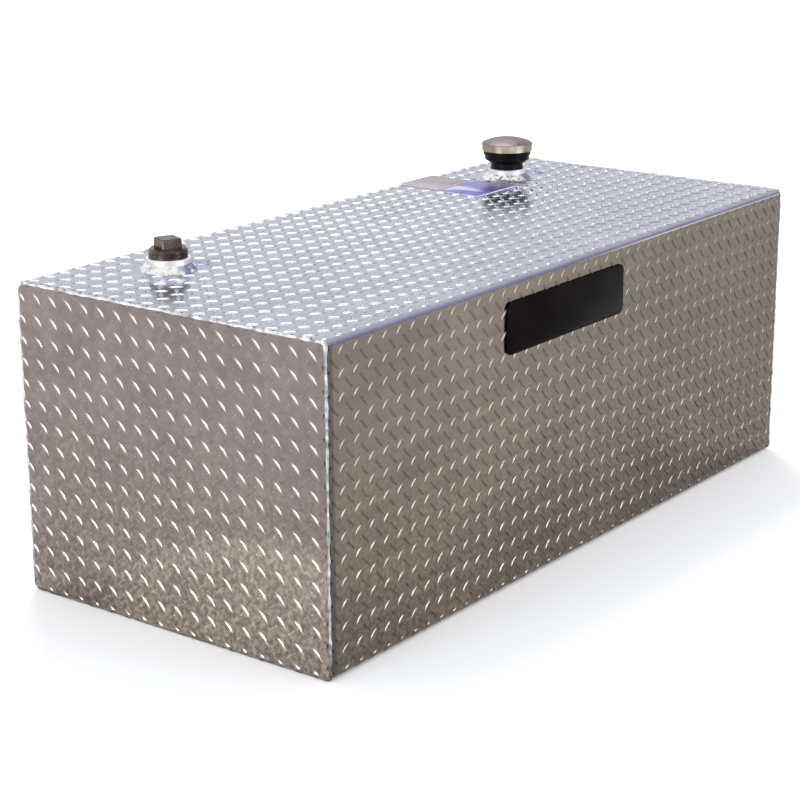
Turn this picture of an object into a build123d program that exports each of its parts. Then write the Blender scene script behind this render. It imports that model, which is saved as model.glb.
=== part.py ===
from build123d import *
import math
import os

# Tank body. All sizes are in millimetres. X runs along the tank, -Y is the front, Z is up,
# and the origin is the middle of the underside.
tank_length = 1320.8
tank_width = 602.0
tank_height = 498.0
sheet = 3.2
bend_radius = 10.0

# Seams of the body
corner_step = 2.4
corner_bead_reach = 5.5
seam_height = 150.0
seam_gap = 1.6
seam_bead_width = 7.0
seam_bead_rise = 1.4

# Baffles inside the tank
baffle_spacing = 440.0
baffle_sheet = 2.5
baffle_flange = 28.0
baffle_bend = 5.0
baffle_fit = 0.3
baffle_corner_cut = 55.0
baffle_hole_diameter = 120.0
baffle_hole_pitch = 170.0
baffle_hole_count = 3
stitch_length = 30.0
stitch_leg = 3.5
stitch_pitch = 150.0

# Threaded necks on top, with the size and taper of a 2 inch pipe thread
thread_diameter = 60.3
thread_taper = 1.0 / 16.0
thread_pitch = 2.209
thread_fit = 0.3
neck_back_inset = 129.0
neck_end_inset = 197.0
bung_diameter = 70.0
bung_rise = 19.0
bung_hole_fit = 0.3
bung_chamfer = 1.2
bung_weld_reach = 11.0
bung_weld_rise = 10.0
bung_weld_crown = 1.0

# Square head plug of the pump neck
plug_collar_rise = 15.0
plug_thread_depth = 17.0
plug_shoulder = 3.0
plug_core_diameter = 44.0
plug_roof = 9.0
plug_square = 34.0
plug_square_height = 15.0
plug_square_round = 2.5
plug_square_turn = 68.5

# Filler pipe under the cap
pipe_bore = 52.5
pipe_rise = 11.0
pipe_thread_depth = 17.0
pipe_edge = 0.8

# Moulded body of the cap
cap_skirt_wall = 1.0
cap_thread_relief = 0.5
cap_cone_height = 6.6
cap_lower_diameter = 83.5
cap_lower_height = 8.2
cap_upper_diameter = 88.8
cap_upper_height = 8.6
cap_edge = 0.8
cap_roof = 4.0
cap_turns = 5.0
gasket_thickness = 3.0
gasket_bore = 50.0

# Pressed metal cover of the cap
cover_diameter = 95.0
cover_rim_height = 13.4
cover_dome_height = 10.5
cover_sheet = 1.2
cover_edge = 2.0
cover_fit = 0.3
vent_hole_diameter = 4.5
vent_hole_radius = 41.0
vent_hole_angle = -115.0

# Vacuum vent valve inside the cap
port_count = 4
port_diameter = 6.0
port_radius = 11.0
stem_diameter = 5.0
stem_fit = 0.3
valve_head_diameter = 30.0
valve_head_thickness = 1.6
valve_seal_diameter = 34.0
valve_seal_thickness = 2.0
spring_diameter = 13.0
spring_wire = 1.2
spring_length = 9.0
spring_turns = 3.5
retainer_diameter = 16.0
retainer_thickness = 1.2
stem_end = 1.0
filter_diameter = 72.0
filter_thickness = 6.0
filter_fit = 1.2

# Bare badge on the front and two bare plates on top, each on a foam pad
badge_width = 336.0
badge_height = 83.0
badge_round = 12.0
badge_thickness = 2.0
badge_left_shift = 62.5
badge_top_inset = 75.0
plate_thickness = 1.0
plate_round = 2.0
rear_plate_width = 97.0
rear_plate_depth = 85.0
rear_plate_end_inset = 321.0
rear_plate_back_inset = 51.4
front_plate_width = 119.0
front_plate_depth = 85.0
front_plate_end_inset = 323.6
front_plate_back_inset = 149.8
pad_thickness = 1.4
pad_margin = 4.0

# Places worked out from the sizes above
wrapper_length = tank_length - 2 * sheet
half_length = tank_length / 2
half_width = tank_width / 2
neck_y = half_width - neck_back_inset
plug_x = neck_end_inset - half_length
filler_x = half_length - neck_end_inset
bung_top = tank_height + bung_rise
thread_radius = thread_diameter / 2
bore_radius = thread_radius + thread_fit
cap_bottom = bung_top + pipe_rise
lower_top = cap_bottom + cap_cone_height + cap_lower_height
upper_top = lower_top + cap_upper_height
rim_top = upper_top + cover_rim_height
dome_top = rim_top + cover_dome_height
flange_bottom = upper_top + cover_sheet + cover_fit
cap_ceiling = upper_top
roof_top = cap_ceiling + cap_roof
pipe_top = cap_ceiling - gasket_thickness
cap_thread_bottom = pipe_top - cap_turns * thread_pitch
valve_seal_bottom = cap_ceiling - valve_seal_thickness
valve_head_bottom = valve_seal_bottom - valve_head_thickness
spring_top = roof_top + spring_length
retainer_top = spring_top + retainer_thickness
cover_inner_radius = cover_diameter / 2 - cover_sheet


def turned(points, rounds=(), radius=0.0):
    """A part turned about Z from (radius, height) points, with the listed corners rounded."""
    section = make_face(Plane.XZ * Polyline(*points, close=True))
    if rounds:
        corners = [
            vertex
            for vertex in section.vertices()
            if any(math.dist((vertex.X, vertex.Z), corner) < 0.01 for corner in rounds)
        ]
        section = fillet(corners, radius)
    return revolve(section, Axis.Z)


def pipe_radius(height, gauge_height, slope):
    """Radius of the tapered thread at a height, with its full size at the gauge height."""
    return thread_radius + slope * (height - gauge_height) * thread_taper / 2


# Folded sheet: top, front, bottom and back in one piece, with four bends along its length
def wrapper_sheet():
    outline = RectangleRounded(tank_width, tank_height, bend_radius)
    hollow = RectangleRounded(tank_width - 2 * sheet, tank_height - 2 * sheet, bend_radius - sheet)
    seam_slot = Pos(half_width, seam_height - tank_height / 2) * Rectangle(4 * sheet, seam_gap)
    section = outline - hollow - seam_slot
    start = Plane.YZ.offset(-wrapper_length / 2)
    folded = extrude(start * Pos(0, tank_height / 2) * section, wrapper_length)
    hole_radius = bung_diameter / 2 + bung_hole_fit
    for x in (plug_x, filler_x):
        folded -= Pos(x, neck_y, tank_height) * Cylinder(hole_radius, 4 * sheet)
    return folded


# Weld along the butt seam of the folded sheet, on the back
def wrapper_seam_weld():
    root = Polyline(
        (0, -seam_bead_width / 2),
        (0, -seam_gap / 2),
        (-sheet, -seam_gap / 2),
        (-sheet, seam_gap / 2),
        (0, seam_gap / 2),
        (0, seam_bead_width / 2),
    )
    crown = ThreePointArc((0, seam_bead_width / 2), (seam_bead_rise, 0), (0, -seam_bead_width / 2))
    start = Plane.YZ.offset(-wrapper_length / 2)
    bead = make_face(start * Pos(half_width, seam_height) * (root + crown))
    return extrude(bead, wrapper_length, dir=(1, 0, 0))


# Flat end of the tank, cut a little smaller than the folded sheet so that its corner takes a weld
def end_panel():
    outline = RectangleRounded(
        tank_width - 2 * corner_step,
        tank_height - 2 * corner_step,
        bend_radius - corner_step,
    )
    start = Plane.YZ.offset(half_length - sheet)
    return extrude(start * Pos(0, tank_height / 2) * outline, sheet)


# Weld bead that fills the open corner all round an end panel
def end_weld():
    edge_plane = Plane.YZ.offset(half_length - sheet)
    outline = edge_plane * Pos(0, tank_height / 2) * RectangleRounded(tank_width, tank_height, bend_radius)
    path = outline.wires()[0]
    start = path @ 0
    tangent = path % 0
    outward = tangent.cross(Vector(1, 0, 0))
    if outward.dot(start - Vector(start.X, 0, tank_height / 2)) < 0:
        outward = -outward
    root = Polyline(
        (0, 0),
        (-corner_step, 0),
        (-corner_step, sheet),
        (-corner_bead_reach, sheet),
    )
    crown = TangentArc((0, 0), (-corner_bead_reach, sheet), tangent=(0, 1))
    section_plane = Plane(origin=start, x_dir=outward, z_dir=outward.cross(Vector(1, 0, 0)))
    return sweep(make_face(section_plane * (root + crown)), path=path)


# Flanged plate that slows the fuel, with cut corners and round holes that let fuel and air pass
def baffle():
    wide = tank_width - 2 * (sheet + baffle_fit)
    tall = tank_height - 2 * (sheet + baffle_fit)
    web_plane = Plane.YZ.offset(baffle_spacing / 2)
    tray = extrude(web_plane * Pos(0, tank_height / 2) * Rectangle(wide, tall), baffle_flange)
    web_edges = tray.faces().sort_by(Axis.X)[0].edges()
    tray = fillet(web_edges, baffle_bend)
    mouth = tray.faces().sort_by(Axis.X)[-1]
    tray = offset(tray, amount=-baffle_sheet, openings=mouth)
    corner_side = baffle_corner_cut * math.sqrt(2)
    for y in (-wide / 2, wide / 2):
        for z in (tank_height / 2 - tall / 2, tank_height / 2 + tall / 2):
            tray -= Pos(baffle_spacing / 2, y, z) * Rot(X=45) * Box(3 * baffle_flange, corner_side, corner_side)
    for number in range(baffle_hole_count):
        y = (number - (baffle_hole_count - 1) / 2) * baffle_hole_pitch
        middle = Pos(baffle_spacing / 2, y, tank_height / 2) * Rot(Y=90)
        tray -= middle * Cylinder(baffle_hole_diameter / 2, 3 * baffle_flange)
    return tray


# Short fillet welds between the free edge of a baffle's flange and the folded sheet
def baffle_stitches():
    edge_x = baffle_spacing / 2 + baffle_flange
    lap = baffle_fit + baffle_sheet
    inside_width = half_width - sheet
    stitches = []
    for z, up in ((sheet, 1), (tank_height - sheet, -1)):
        corner = Polyline((edge_x, z), (edge_x + stitch_leg, z), (edge_x, z + up * lap), close=True)
        bead = extrude(make_face(Plane.XZ * corner), stitch_length / 2, both=True)
        stitches += [Pos(0, y, 0) * bead for y in (-stitch_pitch, 0, stitch_pitch)]
    for y, inward in ((-inside_width, 1), (inside_width, -1)):
        corner = Polyline((edge_x, y), (edge_x + stitch_leg, y), (edge_x, y + inward * lap), close=True)
        bead = extrude(make_face(corner), stitch_length / 2, both=True)
        for shift in (-stitch_pitch / 2, stitch_pitch / 2):
            stitches.append(Pos(0, 0, tank_height / 2 + shift) * bead)
    return Compound(children=[stitch.solid() for stitch in stitches])


# Aluminium weld bung, let into the top sheet flush with its inner face
def bung(x):
    bottom = tank_height - sheet
    outer = bung_diameter / 2
    mouth = pipe_radius(bung_top, bung_top, 1) + thread_fit
    throat = pipe_radius(bottom, bung_top, 1) + thread_fit
    points = (
        (throat, bottom),
        (outer, bottom),
        (outer, bung_top - bung_chamfer),
        (outer - bung_chamfer, bung_top),
        (mouth, bung_top),
    )
    return Pos(x, neck_y, 0) * turned(points)


# Fillet weld round the foot of a bung
def bung_weld(x):
    inner = bung_diameter / 2
    toe = (inner + bung_weld_reach, tank_height)
    top = (inner, tank_height + bung_weld_rise)
    middle = (
        (toe[0] + top[0]) / 2 + bung_weld_crown / math.sqrt(2),
        (toe[1] + top[1]) / 2 + bung_weld_crown / math.sqrt(2),
    )
    outline = Polyline(top, (inner, tank_height), toe) + ThreePointArc(toe, middle, top)
    return Pos(x, neck_y, 0) * revolve(make_face(Plane.XZ * outline), Axis.Z)


# Cast iron plug: hollow tapered thread below a rounded shoulder, and a square head for a wrench
def pipe_plug():
    bottom = bung_top - plug_thread_depth
    collar_top = bung_top + plug_collar_rise
    core = plug_core_diameter / 2
    core_top = collar_top - plug_roof
    rim = pipe_radius(collar_top - plug_shoulder, bung_top, 1)
    points = (
        (0, core_top),
        (core - plug_shoulder, core_top),
        (core, core_top - plug_shoulder),
        (core, bottom),
        (pipe_radius(bottom, bung_top, 1), bottom),
        (rim, collar_top - plug_shoulder),
        (rim - plug_shoulder, collar_top),
        (0, collar_top),
    )
    screw = turned(points)
    head = Pos(0, 0, collar_top) * extrude(Rectangle(plug_square, plug_square), plug_square_height, taper=2)
    upright = [edge for edge in head.edges() if edge.length < plug_square_height * 1.1]
    head = fillet(upright, plug_square_round)
    head = fillet(head.faces().sort_by(Axis.Z)[-1].edges(), plug_square_round / 2)
    return Pos(plug_x, neck_y, 0) * Rot(Z=plug_square_turn) * (screw + head)


# Black steel pipe screwed into the filler bung, with a thread at each end
def filler_pipe():
    bottom = bung_top - pipe_thread_depth
    inner = pipe_bore / 2
    top_radius = pipe_radius(pipe_top, cap_bottom, -1)
    points = (
        (inner, bottom),
        (pipe_radius(bottom, bung_top, 1), bottom),
        (thread_radius, bung_top),
        (thread_radius, cap_bottom),
        (top_radius, pipe_top - pipe_edge),
        (top_radius - pipe_edge, pipe_top),
        (inner, pipe_top),
    )
    return Pos(filler_x, neck_y, 0) * turned(points)


# Moulded cap body: stepped outside, threaded socket below, vented roof above
def cap_body():
    lower = cap_lower_diameter / 2
    upper = cap_upper_diameter / 2
    flange = cover_inner_radius - cover_fit
    hole = stem_diameter / 2 + stem_fit
    skirt = bore_radius + cap_thread_relief
    points = (
        (skirt, cap_bottom),
        (skirt + cap_skirt_wall, cap_bottom),
        (lower, cap_bottom + cap_cone_height),
        (lower, lower_top),
        (upper, lower_top),
        (upper, flange_bottom),
        (flange, flange_bottom),
        (flange, roof_top),
        (hole, roof_top),
        (hole, cap_ceiling),
        (bore_radius, cap_ceiling),
        (bore_radius, cap_thread_bottom + cap_thread_relief),
        (skirt, cap_thread_bottom),
    )
    rounds = ((lower, cap_bottom + cap_cone_height), (upper, lower_top))
    moulding = turned(points, rounds, cap_edge)
    port = Pos(port_radius, 0, cap_ceiling) * Cylinder(port_diameter / 2, 4 * cap_roof)
    for number in range(port_count):
        moulding -= Rot(Z=number * 360 / port_count) * port
    return Pos(filler_x, neck_y, 0) * moulding


# Ring gasket between the pipe's lip and the roof of the cap
def cap_gasket():
    outer = bore_radius - thread_fit
    inner = gasket_bore / 2
    points = ((inner, pipe_top), (outer, pipe_top), (outer, cap_ceiling), (inner, cap_ceiling))
    return Pos(filler_x, neck_y, 0) * turned(points)


# Pressed cover: domed top, upright rim, and a lip crimped under the flange of the cap body
def cap_cover():
    outer = cover_diameter / 2
    lip = cap_upper_diameter / 2 + cover_fit
    dome_radius = (outer**2 + cover_dome_height**2) / (2 * cover_dome_height)
    inner_dome = dome_radius - cover_sheet
    inner_rim_top = dome_top - dome_radius + math.sqrt(inner_dome**2 - cover_inner_radius**2)
    side = Polyline(
        (cover_inner_radius, inner_rim_top),
        (cover_inner_radius, upper_top + cover_sheet),
        (lip, upper_top + cover_sheet),
        (lip, upper_top),
        (outer, upper_top),
        (outer, rim_top),
    )
    crown = RadiusArc((outer, rim_top), (0, dome_top), -dome_radius)
    middle = Line((0, dome_top), (0, dome_top - cover_sheet))
    ceiling = RadiusArc((0, dome_top - cover_sheet), (cover_inner_radius, inner_rim_top), inner_dome)
    section = make_face(Plane.XZ * (side + crown + middle + ceiling))
    rim_corner = section.vertices().group_by(Axis.X)[-1].sort_by(Axis.Z)[-1]
    section = fillet(rim_corner, cover_edge)
    shell = revolve(section, Axis.Z)
    hole = Rot(Z=vent_hole_angle) * Pos(vent_hole_radius, 0, rim_top)
    shell -= hole * Cylinder(vent_hole_diameter / 2, 2 * cover_dome_height)
    return Pos(filler_x, neck_y, 0) * shell


# Valve of the vent: a flat head under the roof, and a stem that passes up through it
def vent_valve():
    stem = stem_diameter / 2
    head = valve_head_diameter / 2
    points = (
        (0, valve_head_bottom),
        (head, valve_head_bottom),
        (head, valve_seal_bottom),
        (stem, valve_seal_bottom),
        (stem, retainer_top + stem_end),
        (0, retainer_top + stem_end),
    )
    return Pos(filler_x, neck_y, 0) * turned(points)


# Flat ring about Z between two heights
def washer(inner_diameter, outer_diameter, bottom, top):
    inner = inner_diameter / 2
    outer = outer_diameter / 2
    return Pos(filler_x, neck_y, 0) * turned(((inner, bottom), (outer, bottom), (outer, top), (inner, top)))


# Compression spring that pulls the valve shut against the roof
def vent_spring():
    wire = spring_wire / 2
    rise = spring_length - spring_wire
    coil = Helix(rise / spring_turns, rise, (spring_diameter - spring_wire) / 2)
    section = Plane(origin=coil @ 0, z_dir=coil % 0) * Circle(wire)
    return Pos(filler_x, neck_y, roof_top + wire) * sweep(section, path=coil, is_frenet=True)


# Flat piece with rounded corners, standing out from a face of the tank
def flat_piece(face, width, height, corner, thickness):
    return extrude(face * RectangleRounded(width, height, corner), thickness)


badge_face = Plane(
    origin=(-badge_left_shift, -half_width, tank_height - badge_top_inset),
    x_dir=(1, 0, 0),
    z_dir=(0, -1, 0),
)
rear_plate_face = Plane(
    origin=(half_length - rear_plate_end_inset, half_width - rear_plate_back_inset, tank_height),
)
front_plate_face = Plane(
    origin=(half_length - front_plate_end_inset, half_width - front_plate_back_inset, tank_height),
)
labels = (
    ("badge", badge_face, badge_width, badge_height, badge_round, badge_thickness),
    ("rear_plate", rear_plate_face, rear_plate_width, rear_plate_depth, plate_round, plate_thickness),
    ("front_plate", front_plate_face, front_plate_width, front_plate_depth, plate_round, plate_thickness),
)

nodes = {
    "wrapper_sheet": wrapper_sheet(),
    "wrapper_seam_weld": wrapper_seam_weld(),
    "plug_bung": bung(plug_x),
    "plug_bung_weld": bung_weld(plug_x),
    "pipe_plug": pipe_plug(),
    "filler_bung": bung(filler_x),
    "filler_bung_weld": bung_weld(filler_x),
    "filler_pipe": filler_pipe(),
    "cap_body": cap_body(),
    "cap_gasket": cap_gasket(),
    "cap_cover": cap_cover(),
    "vent_valve": vent_valve(),
    "vent_seal": washer(stem_diameter, valve_seal_diameter, valve_seal_bottom, cap_ceiling),
    "vent_spring": vent_spring(),
    "vent_retainer": washer(stem_diameter, retainer_diameter, spring_top, retainer_top),
    "vent_filter": washer(spring_diameter + 2 * filter_fit, filter_diameter, roof_top, roof_top + filter_thickness),
}
right_side = {
    "end_panel": end_panel(),
    "end_weld": end_weld(),
    "baffle": baffle(),
    "baffle_stitches": baffle_stitches(),
}
for name, piece in right_side.items():
    nodes["right_" + name] = piece
    nodes["left_" + name] = mirror(piece, about=Plane.YZ)
for name, face, width, height, corner, thickness in labels:
    pad_size = (width - 2 * pad_margin, height - 2 * pad_margin)
    pad_corner = max(corner - pad_margin, plate_round)
    nodes[name + "_pad"] = flat_piece(face, *pad_size, pad_corner, pad_thickness)
    nodes[name] = flat_piece(face.offset(pad_thickness), width, height, corner, thickness)

os.makedirs("parts", exist_ok=True)
for name, piece in nodes.items():
    piece.label = name
    export_step(piece, f"parts/{name}.step")
    print(f"{name:20s} {piece.volume / 1000:10.2f} cm3")
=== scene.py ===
import math
import bmesh
import bpy
from mathutils import Matrix, Vector, noise


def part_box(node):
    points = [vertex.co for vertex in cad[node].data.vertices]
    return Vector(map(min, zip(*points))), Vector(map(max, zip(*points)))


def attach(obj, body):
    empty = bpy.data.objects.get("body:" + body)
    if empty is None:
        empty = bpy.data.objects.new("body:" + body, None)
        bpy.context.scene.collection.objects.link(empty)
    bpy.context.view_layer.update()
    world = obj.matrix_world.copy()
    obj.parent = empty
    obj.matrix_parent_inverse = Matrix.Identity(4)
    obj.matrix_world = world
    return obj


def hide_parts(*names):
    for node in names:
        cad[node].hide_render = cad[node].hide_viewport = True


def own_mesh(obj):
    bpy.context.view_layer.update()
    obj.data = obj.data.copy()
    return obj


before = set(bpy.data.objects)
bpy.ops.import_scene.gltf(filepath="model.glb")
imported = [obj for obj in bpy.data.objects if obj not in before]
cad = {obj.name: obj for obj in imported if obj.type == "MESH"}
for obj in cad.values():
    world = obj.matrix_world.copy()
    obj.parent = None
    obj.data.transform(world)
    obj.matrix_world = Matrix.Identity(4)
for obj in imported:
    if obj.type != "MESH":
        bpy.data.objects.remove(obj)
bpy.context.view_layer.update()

# Folded body sheet: one aluminium tread plate, 3.2 mm thick, bent four times round the tank.
# Rolling leaves it bright and finely streaked; it is smeared, and sooty at one corner. Its tone
# carries painted reflections: darker brown sides, a paler blue top, a blue band at the bends and a
# pale line under them, blue beside the necks and speckle low down; painted shade darkens its right
# part.
mm = 0.001
sheet_low, sheet_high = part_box("wrapper_sheet")
tank_height = sheet_high.z
half_width = sheet_high.y
sheet_end = sheet_high.x
bend_radius = 10 * mm
bend_shown = 9 * mm
# Painted reflection of the sky in each bend: blue tones between the side and the top.
bend_reflection_tones = (
    (0.31, (0.19, 0.185, 0.34)),
    (0.5, (0.22, 0.23, 0.38)),
    (0.66, (0.29, 0.31, 0.45)),
)
# A pale line under the bend, a painted reflection of the horizon.
horizon_line_stops = ((0.0, 0.0), (0.06, 1.0), (0.22, 1.0), (0.27, 0.0))
soot_band = (sheet_end - 13 * mm, sheet_end - 8 * mm)
reflection_patch_middle_y = -0.3
reflection_patch_half_size = (0.42, 0.19)
plain = (1.0, 1.0, 1.0)


def finish(name, metallic, roughness):
    """Starts a finish and returns it with its node tree and its shader."""
    material = bpy.data.materials.new(name)
    material.use_nodes = True
    shader = material.node_tree.nodes["Principled BSDF"]
    shader.inputs["Metallic"].default_value = metallic
    shader.inputs["Roughness"].default_value = roughness
    return material, material.node_tree, shader


def grain(tree, scale, detail=3.0, stretch=(1.0, 1.0, 1.0), turn=(0.0, 0.0, 0.0)):
    """Cloudy pattern fixed to the piece, finer as scale grows, drawn out where stretch is small."""
    place = tree.nodes.new("ShaderNodeTexCoord")
    lay = tree.nodes.new("ShaderNodeMapping")
    lay.inputs["Rotation"].default_value = turn
    lay.inputs["Scale"].default_value = stretch
    cloud = tree.nodes.new("ShaderNodeTexNoise")
    cloud.inputs["Scale"].default_value = scale
    cloud.inputs["Detail"].default_value = detail
    tree.links.new(place.outputs["Object"], lay.inputs["Vector"])
    tree.links.new(lay.outputs["Vector"], cloud.inputs["Vector"])
    return cloud.outputs["Fac"]


def along(tree, axis, low, high):
    """0 to 1 from a low to a high place on one axis of the tank."""
    place = tree.nodes.new("ShaderNodeTexCoord")
    split = tree.nodes.new("ShaderNodeSeparateXYZ")
    tree.links.new(place.outputs["Object"], split.inputs["Vector"])
    return spread(tree, split.outputs[axis], low, high, 0.0, 1.0)


def toward(tree, direction, low, high):
    """0 to 1 from a low to a high distance in one direction, measured from the origin."""
    place = tree.nodes.new("ShaderNodeTexCoord")
    reach = tree.nodes.new("ShaderNodeVectorMath")
    reach.operation = "DOT_PRODUCT"
    reach.inputs[1].default_value = direction
    tree.links.new(place.outputs["Object"], reach.inputs[0])
    return spread(tree, reach.outputs["Value"], low, high, 0.0, 1.0)


def times(tree, first, second):
    """Two patterns multiplied."""
    node = tree.nodes.new("ShaderNodeMath")
    node.operation = "MULTIPLY"
    for socket, value in zip(node.inputs, (first, second)):
        if hasattr(value, "is_output"):
            tree.links.new(value, socket)
        else:
            socket.default_value = value
    return node.outputs[0]


def spread(tree, value, from_low, from_high, to_low, to_high):
    """A pattern's range made another range."""
    node = tree.nodes.new("ShaderNodeMapRange")
    node.inputs["From Min"].default_value = from_low
    node.inputs["From Max"].default_value = from_high
    node.inputs["To Min"].default_value = to_low
    node.inputs["To Max"].default_value = to_high
    tree.links.new(value, node.inputs["Value"])
    return node.outputs["Result"]


def tones(tree, value, *stops):
    """Colours laid along a pattern, each given as its place and its linear colour."""
    ramp = tree.nodes.new("ShaderNodeValToRGB").color_ramp
    node = tree.nodes[-1]
    for number, (place, colour) in enumerate(stops):
        stop = ramp.elements[number] if number < 2 else ramp.elements.new(place)
        stop.position = place
        stop.color = (*colour, 1.0)
    tree.links.new(value, node.inputs["Fac"])
    return node.outputs["Color"]


def blended(tree, share, first, second, how="MIX"):
    """Two colours mixed by a share, or one laid on the other."""
    node = tree.nodes.new("ShaderNodeMix")
    node.data_type = "RGBA"
    node.blend_type = how
    sockets = (node.inputs[0], node.inputs[6], node.inputs[7])
    for socket, value in zip(sockets, (share, first, second)):
        if hasattr(value, "is_output"):
            tree.links.new(value, socket)
        elif isinstance(value, tuple):
            socket.default_value = (*value, 1.0)
        else:
            socket.default_value = value
    return node.outputs[2]


def toned(tree, share, colour, by):
    """A colour multiplied by another one, by a share."""
    return blended(tree, share, colour, by, "MULTIPLY")


def relief(tree, shader, height, depth):
    """Fine unevenness of a surface, as deep as depth in metres."""
    bump = tree.nodes.new("ShaderNodeBump")
    bump.inputs["Distance"].default_value = depth
    tree.links.new(height, bump.inputs["Height"])
    tree.links.new(bump.outputs["Normal"], shader.inputs["Normal"])


def folded_marks(tree, body, level, lug_map):
    """Soot at the left weld, a painted pale reflection under the bend, and painted shade on the
    lugs of one way and on the right part.
    """
    upright = spread(tree, level, 0.1, 0.5, 1.0, 0.0)
    near_end = toward(tree, (-1, 0, 0), *soot_band)
    body = blended(tree, times(tree, near_end, upright), body, (0.09, 0.08, 0.072))
    # Painted reflection: a pale line under the bend, on the right part only.
    horizon_line = tones(tree, level, *((place, (grey, grey, grey)) for place, grey in horizon_line_stops))
    horizon_line = times(tree, horizon_line, along(tree, "X", -0.05, 0.2))
    body = blended(tree, horizon_line, body, (0.66, 0.58, 0.5))
    # Painted shade: lugs lying one way are darkened on the upright parts, most along their middles.
    shade_share = times(tree, lug_map.outputs["X"], times(tree, upright, 0.85))
    body = toned(tree, shade_share, body, (0.58, 0.55, 0.49))
    # Painted shade: the upright sides darken towards the right.
    rightward = along(tree, "X", -0.3, sheet_end)
    right_shade = tones(tree, rightward, (0.0, plain), (1.0, (0.64, 0.63, 0.62)))
    return toned(tree, upright, body, right_shade)


def end_marks(tree, body, speckle_noise, lug_map):
    """A painted reflection as a pale patch low on the left end, and a painted highlight on the
    lugs that lie one way.
    """
    # The pale patch is a painted reflection, broken up by the speckle.
    across, up = reflection_patch_half_size
    lay = tree.nodes.new("ShaderNodeMapping")
    lay.inputs["Scale"].default_value = (0.0, 1 / across, 1 / up)
    lay.inputs["Location"].default_value = (0.0, -reflection_patch_middle_y / across, 0.0)
    tree.links.new(tree.nodes.new("ShaderNodeTexCoord").outputs["Object"], lay.inputs["Vector"])
    reach = tree.nodes.new("ShaderNodeVectorMath")
    reach.operation = "LENGTH"
    tree.links.new(lay.outputs["Vector"], reach.inputs[0])
    reflection_patch = spread(tree, reach.outputs["Value"], 1.1, 0.9, 0.0, 1.0)
    reflection_patch = times(tree, reflection_patch, spread(tree, speckle_noise, 0.3, 0.6, 0.5, 1.0))
    reflection_patch = times(tree, reflection_patch, along(tree, "X", 0.0, -0.1))
    body = toned(tree, reflection_patch, body, (1.46, 1.48, 1.34))
    # Painted highlight: lugs lying the unshaded way are made brighter.
    unshaded_share = spread(tree, lug_map.outputs["X"], 0.0, 0.5, 1.0, 0.1)
    lug_highlight = times(tree, lug_map.outputs["Y"], unshaded_share)
    return toned(tree, lug_highlight, body, (1.7, 1.66, 1.7))


def tread_finish(name, side_tone, top_tone, folded):
    """Bright rolled aluminium, smoother on the top than on upright sides. Its tone is a painted
    reflection: darker and browner on upright sides for reflected ground, paler and bluer on the
    top and in the bends for reflected sky.

    A lug's own map holds the share of painted shade that its way of lying gets, and a 1 that
    marks it as a lug.
    """
    material, tree, shader = finish(name, 1.0, 0.2)
    rolled = grain(tree, 60.0, 4.0, stretch=(0.12, 1.0, 1.0))
    smears = grain(tree, 7.0, 3.0, stretch=(1.0, 1.6, 1.6))
    speckle_noise = grain(tree, 130.0, 5.0)
    level = along(tree, "Z", tank_height - bend_shown, tank_height)
    lug_map = tree.nodes.new("ShaderNodeSeparateXYZ")
    tree.links.new(tree.nodes.new("ShaderNodeUVMap").outputs["UV"], lug_map.inputs["Vector"])
    body = side_tone
    if folded:
        body = tones(tree, level, (0.24, side_tone), *bend_reflection_tones, (0.8, top_tone))
    streaked = tones(tree, rolled, (0.3, (0.86, 0.86, 0.86)), (0.7, (1.08, 1.08, 1.08)))
    smeared = tones(tree, smears, (0.35, (0.92, 0.92, 0.92)), (0.65, (1.05, 1.05, 1.04)))
    body = toned(tree, 1.0, body, streaked)
    body = toned(tree, 1.0, body, smeared)
    # Speckle, strongest low down, is a painted reflection of a speckled ground.
    mottle = tones(
        tree,
        speckle_noise,
        (0.36, (0.6, 0.59, 0.54)),
        (0.5, (1.0, 0.99, 0.94)),
        (0.64, (1.55, 1.5, 1.3)),
    )
    height = along(tree, "Z", 0.0, tank_height)
    body = toned(tree, spread(tree, height, 0.75, 0.05, 0.05, 0.75), body, mottle)
    if folded:
        body = folded_marks(tree, body, level, lug_map)
    else:
        body = end_marks(tree, body, speckle_noise, lug_map)
    tree.links.new(body, shader.inputs["Base Color"])
    near_top = spread(tree, level, 0.3, 1.0, 1.0, 0.7)
    uneven = spread(tree, smears, 0.3, 0.7, 0.2, 0.28)
    worn_lugs = spread(tree, times(tree, lug_map.outputs["Y"], height), 0.0, 1.0, 1.0, 1.4)
    roughness = times(tree, times(tree, uneven, near_top), worn_lugs)
    tree.links.new(roughness, shader.inputs["Roughness"])
    relief(tree, shader, rolled, 0.04 * mm)
    return material


# The side tone and the top tone are painted reflections of ground and sky.
tread_plate = tread_finish("tread_plate", (0.176, 0.144, 0.115), (0.375, 0.39, 0.475), True)
plug_bung_low, plug_bung_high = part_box("plug_bung")
filler_bung_low, filler_bung_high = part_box("filler_bung")
plug_x = (plug_bung_low.x + plug_bung_high.x) / 2
filler_x = (filler_bung_low.x + filler_bung_high.x) / 2
neck_y = (plug_bung_low.y + plug_bung_high.y) / 2
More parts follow.
